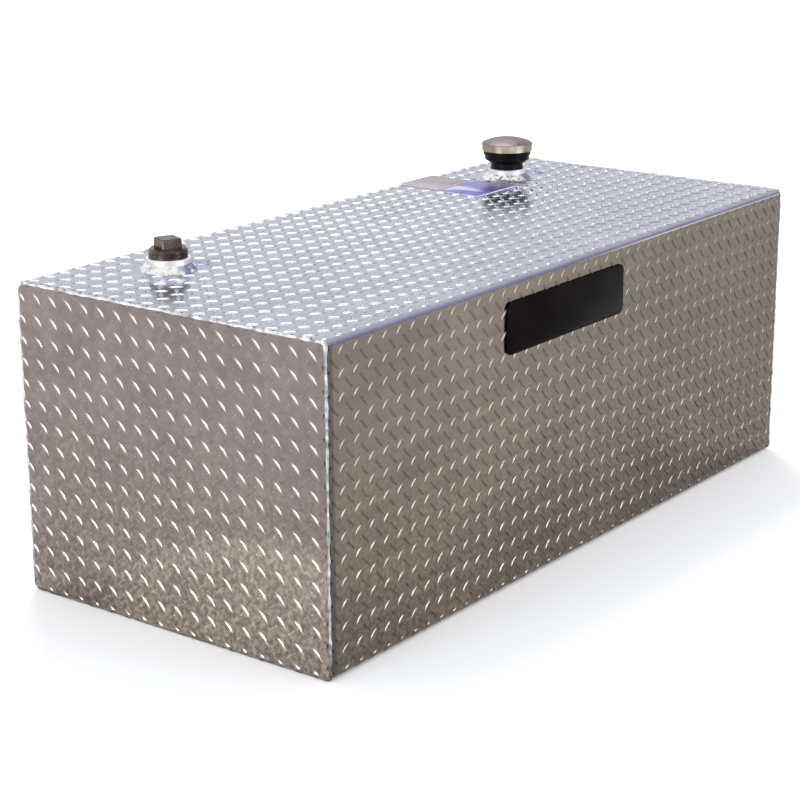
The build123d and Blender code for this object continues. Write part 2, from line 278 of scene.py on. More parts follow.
# Soft blotched blue patches beside the necks are painted reflections.
reflection_radius = (18 * mm, 36 * mm)
reflection_beside = (plug_x + 52 * mm, filler_x + 68 * mm)
reflection_before = 12 * mm
tree = tread_plate.node_tree
metal_tone = tree.nodes["Principled BSDF"].inputs["Base Color"]
blotted = grain(tree, 60.0, 3.0)
for reflection_x in reflection_beside:
    gap = tree.nodes.new("ShaderNodeVectorMath")
    gap.operation = "DISTANCE"
    gap.inputs[1].default_value = (reflection_x, neck_y - reflection_before, tank_height)
    tree.links.new(tree.nodes.new("ShaderNodeTexCoord").outputs["Object"], gap.inputs[0])
    blue_reflection = spread(tree, gap.outputs["Value"], *reflection_radius, 1.0, 0.0)
    blue_reflection = times(tree, blue_reflection, spread(tree, blotted, 0.35, 0.55, 0.3, 1.0))
    under = metal_tone.links[0].from_socket
    tree.links.new(blended(tree, blue_reflection, under, (0.17, 0.18, 0.36)), metal_tone)


def repaint(node_name, material):
    """Gives a CAD node its finish."""
    faces = cad[node_name].data
    faces.materials.clear()
    faces.materials.append(material)


repaint("wrapper_sheet", tread_plate)

# Tread: low almond-shaped lugs about 25 mm long, rolled into the plate in two crossing directions.
# They are part of the sheet, so they follow it round the bends, pressed flatter there, and are
# ground away where a neck is welded on.
lug_length = 27.5 * mm
lug_width = 7.2 * mm
lug_height = 1.3 * mm
lug_root = 0.25 * mm
lug_cells = (8, 4)
lug_taper = 1.25
lug_waist = 0.8
lug_crown = 2.2
merged = 0.02 * mm
sheet_pitch = (32.75 * mm, 34.0 * mm)
tread_middle = -5.4 * mm
tread_top_row = 472.0 * mm
bend_run = 13.2 * mm
flattened = 0.9
press_line = 0.35
press_reach = 0.3
weld_margin = 3.0 * mm


def lug(mesh, turn, place, shade_share):
    """One raised lug, turned off the sheet's length, closed below, with a share of painted shade.
    """
    grid = bmesh.ops.create_grid(mesh, x_segments=lug_cells[0], y_segments=lug_cells[1], size=1.0)
    for corner in grid["verts"]:
        t, w = corner.co.x, corner.co.y
        t = math.copysign(1 - (1 - abs(t)) ** lug_taper, t)
        half_waist = (1 - t * t) ** lug_waist * lug_width / 2
        rise = (1 - t**6) * (1 - abs(w) ** lug_crown) * (lug_height + lug_root)
        corner.co = (t * lug_length / 2, w * half_waist, rise - lug_root)
    bmesh.ops.remove_doubles(mesh, verts=grid["verts"], dist=merged)
    shape = [corner for corner in mesh.verts if not corner.tag]
    rim = [edge for edge in mesh.edges if edge.is_boundary]
    bmesh.ops.edgeloop_fill(mesh, edges=rim)
    own_map = mesh.loops.layers.uv.verify()
    for corner in shape:
        for loop in corner.link_loops:
            loop[own_map].uv = (shade_share * (1 - abs(corner.co.y) / (lug_width / 2)), 1)
    bmesh.ops.rotate(mesh, verts=shape, cent=(0, 0, 0), matrix=Matrix.Rotation(turn, 3, "Z"))
    bmesh.ops.translate(mesh, verts=shape, vec=place)
    for corner in shape:
        corner.tag = True


def repeated(mesh, count, step):
    """Copies what is in the mesh until it stands count times in a row."""
    first = mesh.verts[:] + mesh.edges[:] + mesh.faces[:]
    for number in range(1, count):
        copy = bmesh.ops.duplicate(mesh, geom=first)["geom"]
        corners = [part for part in copy if isinstance(part, bmesh.types.BMVert)]
        bmesh.ops.translate(mesh, verts=corners, vec=step * number)


def cut_back(mesh, place, outward):
    """Cuts the lugs off at the edge of the sheet and closes them again."""
    cut = bmesh.ops.bisect_plane(
        mesh,
        geom=mesh.verts[:] + mesh.edges[:] + mesh.faces[:],
        plane_co=place,
        plane_no=outward,
        clear_outer=True,
    )
    open_edges = [part for part in cut["geom_cut"] if isinstance(part, bmesh.types.BMEdge)]
    bmesh.ops.edgeloop_fill(mesh, edges=open_edges)


def ground_away(mesh, place, radius):
    """Takes off every lug that reaches inside a circle."""
    reached = {corner for corner in mesh.verts if (corner.co.xy - place).length < radius}
    front = set(reached)
    while front:
        front = {edge.other_vert(corner) for corner in front for edge in corner.link_edges}
        front -= reached
        reached |= front
    bmesh.ops.delete(mesh, geom=list(reached), context="VERTS")


def tread(low, high, first_lug, first_turn, pitch):
    """Lugs both ways over a flat rectangle of plate, with x and y on the plate and z above it."""
    mesh = bmesh.new()
    pitch_x, pitch_y = pitch
    start_x = first_lug[0] - math.ceil((first_lug[0] - low[0]) / pitch_x + 1) * pitch_x
    start_y = first_lug[1] - math.ceil((first_lug[1] - low[1]) / pitch_y + 1) * pitch_y
    start = Vector((start_x, start_y, 0))
    lug(mesh, first_turn, start, 0.0)
    lug(mesh, -first_turn, start + Vector((pitch_x, pitch_y, 0)) / 2, 1.0)
    repeated(mesh, math.ceil((high[0] - start_x) / pitch_x) + 1, Vector((pitch_x, 0, 0)))
    repeated(mesh, math.ceil((high[1] - start_y) / pitch_y) + 1, Vector((0, pitch_y, 0)))
    cut_back(mesh, (low[0], 0, 0), (-1, 0, 0))
    cut_back(mesh, (high[0], 0, 0), (1, 0, 0))
    cut_back(mesh, (0, low[1], 0), (0, -1, 0))
    cut_back(mesh, (0, high[1], 0), (0, 1, 0))
    return mesh


def piece(name, mesh, material, body, corner_angle=50):
    """Turns a finished shape into a piece that rides on a body of the tank."""
    bmesh.ops.recalc_face_normals(mesh, faces=mesh.faces[:])
    data = bpy.data.meshes.new(name)
    mesh.to_mesh(data)
    mesh.free()
    data.materials.append(material)
    data.polygons.foreach_set("use_smooth", [True] * len(data.polygons))
    data.set_sharp_from_angle(angle=math.radians(corner_angle))
    made = bpy.data.objects.new(name, data)
    bpy.context.collection.objects.link(made)
    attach(made, body)
    return made


front_run = tank_height - 2 * bend_radius
top_run = 2 * (half_width - bend_radius)
walls = (
    (Vector((-half_width, bend_radius)), Vector((0, 1)), Vector((-1, 0)), front_run),
    (Vector((bend_radius - half_width, tank_height)), Vector((1, 0)), Vector((0, 1)), top_run),
    (Vector((half_width, tank_height - bend_radius)), Vector((0, -1)), Vector((1, 0)), front_run),
    (Vector((half_width - bend_radius, 0)), Vector((-1, 0)), Vector((0, -1)), top_run),
)
girth = 2 * (front_run + top_run) + 4 * bend_run


def wrapped(run, lift):
    """Place and outward direction on the folded sheet, a run up the front and on round it."""
    run %= girth
    for start, onward, outward, length in walls:
        if run <= length:
            return start + onward * run + outward * lift, outward
        run -= length
        if run <= bend_run:
            angle = run / bend_run * math.pi / 2
            out = outward * math.cos(angle) + onward * math.sin(angle)
            centre = start + onward * length - outward * bend_radius
            return centre + out * (bend_radius + lift), out
        run -= bend_run
    return walls[0][0] + walls[0][2] * lift, walls[0][2]


def on_bend(run):
    """How hard a bend presses the lugs, from 0 on a flat wall to 1 where the press bore on it."""
    run %= girth
    for wall in walls:
        run -= wall[3]
        if run <= 0:
            return 0.0
        if run <= bend_run:
            return math.exp(-(((run / bend_run - press_line) / press_reach) ** 2))
        run -= bend_run
    return 0.0


def fold(mesh):
    """Bends flat lugs round the sheet."""
    for corner in mesh.verts:
        x, run, lift = corner.co
        if lift > 0:
            lift *= 1 - flattened * on_bend(run)
        place = wrapped(run, lift)[0]
        corner.co = (x, place.x, place.y)


neck_run = front_run + bend_run + neck_y + half_width - bend_radius
ground_radius = 40 * mm
tread_end = sheet_end - weld_margin
top_of_back = front_run + 1.5 * bend_run + top_run

lugs = tread(
    (-tread_end, -0.5 * bend_run),
    (tread_end, top_of_back),
    (tread_middle, tread_top_row),
    math.pi / 4,
    sheet_pitch,
)
for neck_x in (plug_x, filler_x):
    ground_away(lugs, Vector((neck_x, neck_run)), ground_radius)
fold(lugs)
piece("tread_front_and_top", lugs, tread_plate, "root")

lugs = tread(
    (-tread_end, top_of_back),
    (tread_end, girth - 0.5 * bend_run),
    (tread_middle, tread_top_row),
    math.pi / 4,
    sheet_pitch,
)
fold(lugs)
piece("tread_back_and_bottom", lugs, tread_plate, "root")

# End panels: flat pieces of the same plate, cut a little small and set on the ends of the folded
# sheet. Their tread runs to the weld on every side and starts wherever the shears left it.
end_pitch = (33.6 * mm, 33.9 * mm)
end_first_lug = (8.3 * mm, 239.1 * mm)
panel_low, panel_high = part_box("right_end_panel")
panel_face = panel_high.x
panel_half_width = panel_high.y - weld_margin
# The ends' own tone is a painted reflection, a little lighter and pinker than the sides'.
end_tone = (0.216, 0.18, 0.17)
end_plate = tread_finish("end_plate", end_tone, end_tone, False)
for side, out in (("left", -1), ("right", 1)):
    lugs = tread(
        (-panel_half_width, panel_low.z + weld_margin),
        (panel_half_width, panel_high.z - weld_margin),
        end_first_lug,
        -math.pi / 4,
        end_pitch,
    )
    for corner in lugs.verts:
        across, up, lift = corner.co
        corner.co = (out * (panel_face + lift), out * across, up)
    piece(side + "_end_tread", lugs, end_plate, "root")
    repaint(side + "_end_panel", end_plate)

# Corner welds: a bead of aluminium laid in the open corner all round each end, and one along the
# back where the folded sheet's two edges meet. Each is a row of overlapping crescent ripples,
# a little uneven in width, with a lump where the bead was started and stopped.
bead_depth = 1.9 * mm
bead_reach = 2.2 * mm
bead_inset = (1.5 * mm, 1.6 * mm)
ripple_pitch = 3.1 * mm
ripple_rise = 0.3 * mm
ripple_curve = 0.35
bead_sway = 0.6 * mm
bead_step = 0.75 * mm
bead_round = 12
bead_end = 0.35
lump_scale = 85.0
lump_rise = 1.5 * mm
corner_lump = 2.2 * mm
corner_lump_run = 5 * mm
darkening_height = 60 * mm
top_band = (tank_height - 12 * mm, tank_height - 5 * mm)


def ripple(run, around):
    """Height of the bead's crescent ripples, steep at the front of each one."""
    phase = (run / ripple_pitch + ripple_curve * math.cos(around)) % 1.0
    return ripple_rise * (1 - phase) ** 0.7 - ripple_rise / 2


def bead(run_length, place_bead, closed, seed):
    """A weld bead laid along a run: place_bead gives its middle and its two cross directions."""
    mesh = bmesh.new()
    steps = round(run_length / bead_step)
    grid = bmesh.ops.create_grid(mesh, x_segments=steps, y_segments=bead_round, size=0.5)
    for corner in grid["verts"]:
        run = (corner.co.x + 0.5) * run_length
        around = (corner.co.y + 0.5) * 2 * math.pi
        middle, across, out, swell = place_bead(run)
        loop = Vector((middle.x + seed, middle.y, middle.z)) * lump_scale
        uneven = swell + lump_rise * noise.noise(loop) + ripple(run, around)
        sway = bead_sway * noise.noise(loop * 0.6 + Vector((9, 0, 0)))
        fade = 1.0
        if not closed:
            fade = min(1.0, bead_end + min(run, run_length - run) / (4 * bead_reach))
        thick = (bead_depth + uneven / 2) * fade * math.cos(around)
        wide = (bead_reach + uneven) * fade * math.sin(around) + sway
        corner.co = middle + across * thick + out * wide
    bmesh.ops.remove_doubles(mesh, verts=mesh.verts[:], dist=merged)
    if not closed:
        ends = [edge for edge in mesh.edges if edge.is_boundary]
        bmesh.ops.holes_fill(mesh, edges=ends, sides=0)
    return mesh


weld_metal, tree, shader = finish("weld_metal", 1.0, 0.3)
beaded = grain(tree, 400.0, 3.0)
frosted = grain(tree, 70.0, 3.0)
bright = tones(
    tree,
    frosted,
    (0.34, (0.2, 0.205, 0.19)),
    (0.5, (0.43, 0.44, 0.41)),
    (0.68, (0.62, 0.62, 0.58)),
)
# The beads are darker towards the bottom.
low_darkening = tones(tree, along(tree, "Z", 0.0, darkening_height), (0.2, (0.4, 0.38, 0.35)), (1.0, plain))
bright = toned(tree, 1.0, bright, low_darkening)
# They are brighter in a band just under the top edge.
near_top = tones(tree, along(tree, "Z", *top_band), (0.0, plain), (1.0, (1.5, 1.48, 1.5)))
bright = toned(tree, 1.0, bright, near_top)
tree.links.new(bright, shader.inputs["Base Color"])
tree.links.new(spread(tree, frosted, 0.3, 0.7, 0.36, 0.5), shader.inputs["Roughness"])
relief(tree, shader, beaded, 0.05 * mm)

bend_middles = []
run_so_far = 0.0
for wall in walls:
    run_so_far += wall[3] + bend_run / 2
    bend_middles.append(run_so_far)
    run_so_far += bend_run / 2


def corner_swell(run):
    """Extra metal where the bead turns a corner of the tank."""
    gaps = [abs(run - middle) for middle in bend_middles]
    near = min(min(gap, girth - gap) for gap in gaps)
    return corner_lump * math.exp(-((near / corner_lump_run) ** 2))


for side, out_way in (("left", -1), ("right", 1)):

    def place_corner_bead(run):
        """Middle, cross directions and swell of the bead round one end."""
        place, outward = wrapped(run, -bead_inset[1])
        middle = Vector((out_way * (panel_face - bead_inset[0]), place.x, place.y))
        swell = corner_swell(run)
        middle -= Vector((out_way, outward.x, outward.y)) * swell / 2
        return middle, Vector((out_way, 0, 0)), Vector((0, outward.x, outward.y)), swell

    laid = bead(girth, place_corner_bead, True, out_way)
    made = piece(side + "_corner_bead", laid, weld_metal, "root")
    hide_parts(side + "_end_weld")

seam_low, seam_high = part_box("wrapper_seam_weld")
seam_z = (seam_low.z + seam_high.z) / 2
seam_sunk = 0.4 * mm


def place_seam_bead(run):
    """Middle, cross directions and swell of the bead along the back."""
    middle = Vector((run - sheet_end, half_width - seam_sunk, seam_z))
    return middle, Vector((0, 1, 0)), Vector((0, 0, 1)), 0.0


laid = bead(2 * sheet_end, place_seam_bead, False, 5)
made = piece("back_seam_bead", laid, weld_metal, "root")
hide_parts("wrapper_seam_weld")

# Weld bungs: turned aluminium rings with a tapered thread, set in the top sheet, one for the pump
# at the left and one for the filler at the right. A wide, lumpy fillet of weld flares from each on
# to the tread, speckled with soot; a painted blue reflection blotches its front right side.
flare_foot = 46.5 * mm
flare_top = 35.2 * mm
flare_rise = 10.5 * mm
flare_crown = 1.5 * mm
flare_ripples = 17
flare_profile = 10
flare_steps = 280
flare_lumps = 3.1
foot_wander = 4.0 * mm
foot_lobe = 0.8 * mm
top_wander = 0.5 * mm
rise_wander = 0.9 * mm
puddle_crown = 0.35 * mm
flare_sunk = 0.5 * mm
flare_skirt = 2.5 * mm
flare_inside = 2 * mm
front_right = Vector((0.605, -0.796, 0))
reflection_band = (14 * mm, 30 * mm)


def coloured(tree, shader, pattern, *stops):
    """Lays colours along a pattern on a surface."""
    tree.links.new(tones(tree, pattern, *stops), shader.inputs["Base Color"])


bung_metal, tree, shader = finish("bung_metal", 1.0, 0.5)
turned_marks = grain(tree, 900.0, 2.0, stretch=(0.01, 0.01, 1.0))
blotches = grain(tree, 60.0, 3.0)
coloured(tree, shader, blotches, (0.3, (0.74, 0.72, 0.72)), (0.7, (0.9, 0.88, 0.87)))
relief(tree, shader, turned_marks, 0.01 * mm)
for node_name in ("plug_bung", "filler_bung"):
    repaint(node_name, bung_metal)


def flare(x, seed):
    """Fillet weld round a bung: overlapping puddles whose feet bulge out over the tread."""
    mesh = bmesh.new()
    rows = flare_profile + 2
    grid = bmesh.ops.create_grid(mesh, x_segments=flare_steps, y_segments=rows, size=0.5)
    for corner in grid["verts"]:
        angle = (corner.co.x + 0.5) * 2 * math.pi
        row = round((corner.co.y + 0.5) * rows)
        spot = Vector((math.cos(angle), math.sin(angle), seed)) * flare_lumps
        if row <= flare_profile:
            t = row / flare_profile
            phase = flare_ripples * angle / 2 + 1.2 * noise.noise(spot) + 0.9 * t
            puddle = abs(math.sin(phase))
            foot = flare_foot + foot_wander * noise.noise(spot * 0.8) + foot_lobe * puddle
            top = flare_top + top_wander * noise.noise(spot * 2.3 + Vector((4, 0, 0)))
            rise = flare_rise + rise_wander * noise.noise(spot * 2.9 + Vector((0, 7, 0)))
            crown = flare_crown * noise.noise(spot * 2.2 + Vector((0, 0, 4 * t)))
            swell = 0.7 * (crown + puddle_crown * puddle) * math.sin(math.pi * t)
            radius = foot + (top - foot) * t**0.8 + swell
            height = tank_height - flare_sunk + (rise + flare_sunk) * t**1.25 + swell
        else:
            radius = flare_top - flare_skirt
            upper = row == flare_profile + 1
            height = tank_height + (flare_rise - flare_inside if upper else -flare_sunk)
        corner.co = (x + radius * math.cos(angle), neck_y + radius * math.sin(angle), height)
    bmesh.ops.remove_doubles(mesh, verts=mesh.verts[:], dist=merged)
    rims = [edge for edge in mesh.edges if edge.is_boundary]
    bmesh.ops.bridge_loops(mesh, edges=rims)
    return mesh


for neck, x, speck_tone in (
    ("plug", plug_x, (0.65, 0.64, 0.64)),
    ("filler", filler_x, (0.3, 0.25, 0.22)),
):
    tinted_weld, tree, shader = finish(neck + "_tinted_weld", 1.0, 0.34)
    puddled = grain(tree, 42.0, 3.0)
    blue_blotches = grain(tree, 48.0, 3.0)
    clean = tones(
        tree,
        puddled,
        (0.34, (0.5, 0.49, 0.5)),
        (0.44, (0.84, 0.83, 0.82)),
        (0.65, (0.93, 0.92, 0.9)),
    )
    specks = tones(tree, grain(tree, 190.0, 4.0), (0.36, speck_tone), (0.43, plain))
    clean = toned(tree, 1.0, clean, specks)
    neck_from = front_right.dot(Vector((x, neck_y, 0)))
    # Painted reflection: blue in blotches on the front right side.
    right_side = toward(tree, front_right, neck_from + reflection_band[0], neck_from + reflection_band[1])
    reflection_share = times(tree, right_side, spread(tree, blue_blotches, 0.42, 0.5, 0.0, 0.95))
    blue_reflection = blended(tree, reflection_share, clean, (0.17, 0.165, 0.33))
    tree.links.new(blue_reflection, shader.inputs["Base Color"])
    relief(tree, shader, grain(tree, 260.0, 4.0), 0.12 * mm)
    made = piece(neck + "_weld_flare", flare(x, x * 10), tinted_weld, "root")
    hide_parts(neck + "_bung_weld")

# Pump-neck plug: malleable iron, cast with a square head and a rounded shoulder, then threaded.
# It is screwed into the left bung, with its last threads in sight, and has a dark brown skin,
# lighter in bands up the thread, with painted shade on its front right side and a painted
# highlight on the left corner of the head.
thread_pitch = 2.209 * mm
coil_steps = 64
tolerance = 0.001 * mm
least_ridge = 0.05
bung_top = plug_bung_high.z


def coil(turns, place_coil, section, taper):
    """A helical ridge or wire: place_coil gives its radius and height for a share of its length.

    taper is the share of its length over which each end runs out, or 0.
    """
    mesh = bmesh.new()
    sides = len(section)
    steps = round(turns * coil_steps)
    grid = bmesh.ops.create_grid(mesh, x_segments=steps, y_segments=sides, size=0.5)
    for corner in grid["verts"]:
        share = corner.co.x + 0.5
        out, up = section[round((corner.co.y + 0.5) * sides) % sides]
        fade = 1.0
        if taper:
            fade = max(least_ridge, min(1.0, share / taper, (1 - share) / taper))
        radius, height = place_coil(share)
        angle = share * turns * 2 * math.pi
        radius += out * fade
        corner.co = (radius * math.cos(angle), radius * math.sin(angle), height + up)
    bmesh.ops.remove_doubles(mesh, verts=mesh.verts[:], dist=tolerance)
    ends = [edge for edge in mesh.edges if edge.is_boundary]
    bmesh.ops.holes_fill(mesh, edges=ends, sides=0)
    return mesh


dark_iron, tree, shader = finish("dark_iron", 0.8, 0.34)
cast_skin = grain(tree, 240.0, 5.0)
rust_bloom = grain(tree, 45.0, 4.0)
iron = tones(
    tree,
    rust_bloom,
    (0.34, (0.04, 0.026, 0.018)),
    (0.5, (0.07, 0.046, 0.032)),
    (0.68, (0.11, 0.08, 0.055)),
)
head_start = bung_top + 14 * mm
up_to_head = along(tree, "Z", head_start - 1 * mm, head_start + 1 * mm)
iron = toned(tree, 1.0, iron, tones(tree, up_to_head, (0.0, (1.7, 1.75, 1.85)), (1.0, plain)))
rings = tones(
    tree,
    along(tree, "Z", bung_top, head_start),
    (0.0, (0.7, 0.7, 0.7)),
    (0.14, (1.9, 1.85, 1.8)),
    (0.26, (0.6, 0.6, 0.6)),
    (0.4, (1.8, 1.75, 1.7)),
    (0.52, (0.6, 0.6, 0.6)),
    (0.64, (1.5, 1.5, 1.45)),
    (0.74, plain),
)
iron = toned(tree, 1.0, iron, rings)
# A painted highlight runs down the left corner of the head.
head_corner = math.radians(203.5)
corner_way = Vector((math.cos(head_corner), math.sin(head_corner), 0))
corner_from = corner_way.dot(Vector((plug_x, neck_y, 0)))
edge_highlight = toward(tree, corner_way, corner_from + 21.8 * mm, corner_from + 22.8 * mm)
on_head = along(tree, "Z", head_start + 2 * mm, head_start + 3 * mm)
iron = blended(tree, times(tree, edge_highlight, on_head), iron, (0.28, 0.23, 0.18))
plug_low, plug_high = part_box("pipe_plug")
head_face = along(tree, "Z", plug_high.z - 1.5 * mm, plug_high.z - 0.5 * mm)
iron = toned(tree, 1.0, iron, tones(tree, head_face, (0.0, plain), (1.0, (0.45, 0.45, 0.45))))
# Painted shade: the plug darkens towards its front right side.
plug_from = front_right.dot(Vector((plug_x, neck_y, 0)))
plug_right_shade = toward(tree, front_right, plug_from - 12 * mm, plug_from + 20 * mm)
iron = blended(tree, spread(tree, plug_right_shade, 0.0, 1.0, 0.0, 0.7), iron, (0.03, 0.017, 0.02))
speckled = tones(tree, cast_skin, (0.3, (0.7, 0.7, 0.7)), (0.7, (1.2, 1.18, 1.15)))
tree.links.new(toned(tree, 1.0, iron, speckled), shader.inputs["Base Color"])
tree.links.new(spread(tree, cast_skin, 0.3, 0.7, 0.22, 0.38), shader.inputs["Roughness"])
relief(tree, shader, cast_skin, 0.18 * mm)
repaint("pipe_plug", dark_iron)

thread_top = bung_top + 10.8 * mm
thread_bottom = plug_low.z + 1.5 * mm
thread_turns = (thread_top - thread_bottom) / thread_pitch
thread_taper = 1 / 32
collar_radius = 30.15 * mm
ridge_root = -0.5 * mm
ridge_crest = 0.85 * mm
ridge_taper = 0.04
ridge = (
    (ridge_root, -0.9 * mm),
    (ridge_crest, -0.15 * mm),
    (ridge_crest, 0.15 * mm),
    (ridge_root, 0.9 * mm),
)


def place_plug_thread(share):
    """Radius and height of the plug's tapered thread."""
    height = thread_bottom + share * (thread_top - thread_bottom)
    return collar_radius + (height - bung_top) * thread_taper, height


threads = coil(thread_turns, place_plug_thread, ridge, ridge_taper)
bmesh.ops.translate(threads, verts=threads.verts[:], vec=(plug_x, neck_y, 0))
piece("plug_thread", threads, dark_iron, "plug")

# Filler pipe: a short nipple of black steel pipe with a taper thread at each end, screwed into the
# right bung. It keeps its thin mill scale, nearly black and dull.
black_pipe, tree, shader = finish("black_pipe", 0.0, 0.4)
shader.inputs["Specular IOR Level"].default_value = 0.08
scale_skin = grain(tree, 160.0, 4.0)
coloured(tree, shader, scale_skin, (0.3, (0.004, 0.003, 0.003)), (0.7, (0.012, 0.008, 0.009)))
relief(tree, shader, scale_skin, 0.12 * mm)
repaint("filler_pipe", black_pipe)

# Filler cap: a black moulding with two steps, screwed on to the pipe, and a pressed steel cover
# crimped over its flange. The cover is zinc plated and yellow passivated, so that it shimmers from
# gold to green and pink, and a vent hole is punched in its dome.
black_moulding, tree, shader = finish("black_moulding", 0.0, 0.33)
shader.inputs["Specular IOR Level"].default_value = 0.06
moulded = grain(tree, 500.0, 3.0)
mottle = grain(tree, 40.0, 4.0)
coloured(tree, shader, mottle, (0.35, (0.003, 0.0015, 0.002)), (0.75, (0.01, 0.006, 0.007)))
tree.links.new(spread(tree, mottle, 0.3, 0.7, 0.26, 0.45), shader.inputs["Roughness"])
relief(tree, shader, moulded, 0.06 * mm)
repaint("cap_body", black_moulding)

cover_low, cover_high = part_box("cap_cover")
rim_top = cover_low.z + 13.4 * mm
rim_radius = 47 * mm
yellow_zinc, tree, shader = finish("yellow_zinc", 1.0, 0.3)
shimmer = grain(tree, 30.0, 2.0, stretch=(1.0, 1.0, 0.4))
spun = grain(tree, 700.0, 2.0, stretch=(1.0, 1.0, 0.1))
gold = tones(
    tree,
    shimmer,
    (0.36, (0.72, 0.7, 0.64)),
    (0.5, plain),
    (0.62, (0.76, 0.8, 0.64)),
)
# A painted reflection on the rim: light across the middle, dark at both sides.
rim_from = front_right.dot((cover_low + cover_high) / 2)
spin_reflection = tones(
    tree,
    toward(tree, front_right, rim_from - rim_radius, rim_from + rim_radius),
    (0.0, (0.17, 0.155, 0.09)),
    (0.3, (0.35, 0.31, 0.2)),
    (0.55, (0.68, 0.62, 0.5)),
    (0.76, (0.38, 0.35, 0.25)),
    (1.0, (0.15, 0.155, 0.08)),
)
blush = tones(
    tree,
    shimmer,
    (0.3, (0.15, 0.12, 0.13)),
    (0.5, (0.21, 0.16, 0.18)),
    (0.7, (0.14, 0.14, 0.13)),
)
on_dome = along(tree, "Z", rim_top - 1.8 * mm, rim_top + 0.4 * mm)
plated = blended(tree, on_dome, toned(tree, 1.0, gold, spin_reflection), blush)
tree.links.new(plated, shader.inputs["Base Color"])
softer_up = along(tree, "Z", rim_top - 40 * mm, rim_top + 55 * mm)
tree.links.new(softer_up, shader.inputs["Roughness"])
relief(tree, shader, spun, 0.02 * mm)
repaint("cap_cover", yellow_zinc)

# Inside the cap: a rubber gasket that seals on the pipe, and a vacuum vent with a plastic valve,
# its rubber seal, a spring with its retainer, and a foam filter.
black_rubber, tree, shader = finish("black_rubber", 0.0, 0.7)
rubber_grain = grain(tree, 300.0, 3.0)
coloured(tree, shader, rubber_grain, (0.3, (0.012, 0.012, 0.012)), (0.7, (0.03, 0.03, 0.03)))
relief(tree, shader, rubber_grain, 0.05 * mm)
white_plastic, tree, shader = finish("white_plastic", 0.0, 0.45)
flow = grain(tree, 90.0, 3.0)
coloured(tree, shader, flow, (0.3, (0.66, 0.65, 0.6)), (0.7, (0.78, 0.77, 0.73)))
relief(tree, shader, flow, 0.04 * mm)
spring_steel, tree, shader = finish("spring_steel", 1.0, 0.28)
drawn = grain(tree, 800.0, 2.0)
coloured(tree, shader, drawn, (0.3, (0.42, 0.42, 0.43)), (0.7, (0.6, 0.6, 0.6)))
relief(tree, shader, drawn, 0.02 * mm)
grey_foam, tree, shader = finish("grey_foam", 0.0, 0.95)
pores = grain(tree, 900.0, 2.0)
coloured(tree, shader, pores, (0.35, (0.03, 0.03, 0.032)), (0.65, (0.2, 0.2, 0.21)))
relief(tree, shader, pores, 0.4 * mm)
for node_name, material in (
    ("cap_gasket", black_rubber),
    ("vent_seal", black_rubber),
    ("vent_valve", white_plastic),
    ("vent_retainer", spring_steel),
    ("vent_filter", grey_foam),
):
    repaint(node_name, material)

spring_low, spring_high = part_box("vent_spring")
wire = 0.6 * mm
spring_radius = (spring_high.x - spring_low.x) / 2 - wire
spring_turns = 3.5
wire_angles = [step * math.pi / 4 for step in range(8)]
wire_section = [(wire * math.cos(angle), wire * math.sin(angle)) for angle in wire_angles]


def place_spring(share):
    """Radius and height of the spring's wire."""
    return spring_radius, spring_low.z + wire + share * (spring_high.z - spring_low.z - 2 * wire)


spring = coil(spring_turns, place_spring, wire_section, 0)
bmesh.ops.translate(spring, verts=spring.verts[:], vec=(filler_x, neck_y, 0))
made = piece("vent_coil_spring", spring, spring_steel, "cap")
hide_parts("vent_spring")
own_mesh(made)

# Baffles: flanged sheets of plain mill aluminium across the inside of the tank, with round holes
# for fuel and air, stitch welded to the folded sheet.
baffle_plate, tree, shader = finish("baffle_plate", 1.0, 0.38)
milled = grain(tree, 80.0, 3.0, stretch=(1.0, 0.1, 1.0))
coloured(tree, shader, milled, (0.3, (0.5, 0.5, 0.51)), (0.7, (0.64, 0.64, 0.65)))
relief(tree, shader, milled, 0.03 * mm)
for side in ("left", "right"):
    repaint(side + "_baffle", baffle_plate)
    repaint(side + "_baffle_stitches", weld_metal)

# Badge: a bare, glossy black plate with rounded corners on the front wall. A sheet of foam holds
# it on and evens out the lugs behind it.
badge_low, badge_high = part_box("badge")
badge_round = 12 * mm
badge_edge = 0.7 * mm
corner_segments = 8
edge_segments = 2
flat_angle = 35
badge_black, tree, shader = finish("badge_black", 0.0, 0.12)
orange_peel = grain(tree, 120.0, 3.0)
film = grain(tree, 14.0, 3.0)
coloured(tree, shader, film, (0.3, (0.003, 0.002, 0.002)), (0.75, (0.008, 0.006, 0.006)))
tree.links.new(spread(tree, film, 0.3, 0.7, 0.1, 0.2), shader.inputs["Roughness"])
shader.inputs["Specular IOR Level"].default_value = 0.01
relief(tree, shader, orange_peel, 0.03 * mm)


def ease(mesh, edges, width, segments):
    """Rounds edges off."""
    bmesh.ops.bevel(
        mesh,
        geom=edges,
        offset=width,
        segments=segments,
        profile=0.5,
        affect="EDGES",
        material=-1,
    )


def rounded_plate(low, high, upright, corner_round, edge_round):
    """A flat plate with round corners and eased edges. upright is the axis across its thickness."""

    def reach(edge):
        """How far an edge runs across the thickness."""
        return abs(edge.verts[0].co[upright] - edge.verts[1].co[upright])

    mesh = bmesh.new()
    made = bmesh.ops.create_cube(mesh, size=1.0)
    size = high - low
    bmesh.ops.scale(mesh, verts=made["verts"], vec=size)
    bmesh.ops.translate(mesh, verts=made["verts"], vec=(low + high) / 2)
    thick = [edge for edge in mesh.edges if abs(reach(edge) - size[upright]) < tolerance]
    ease(mesh, thick, corner_round, corner_segments)
    rim = [edge for edge in mesh.edges if reach(edge) < tolerance]
    ease(mesh, rim, edge_round, edge_segments)
    return mesh


face = rounded_plate(badge_low, badge_high, 1, badge_round, badge_edge)
made = piece("badge_face", face, badge_black, "root", flat_angle)
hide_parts("badge")

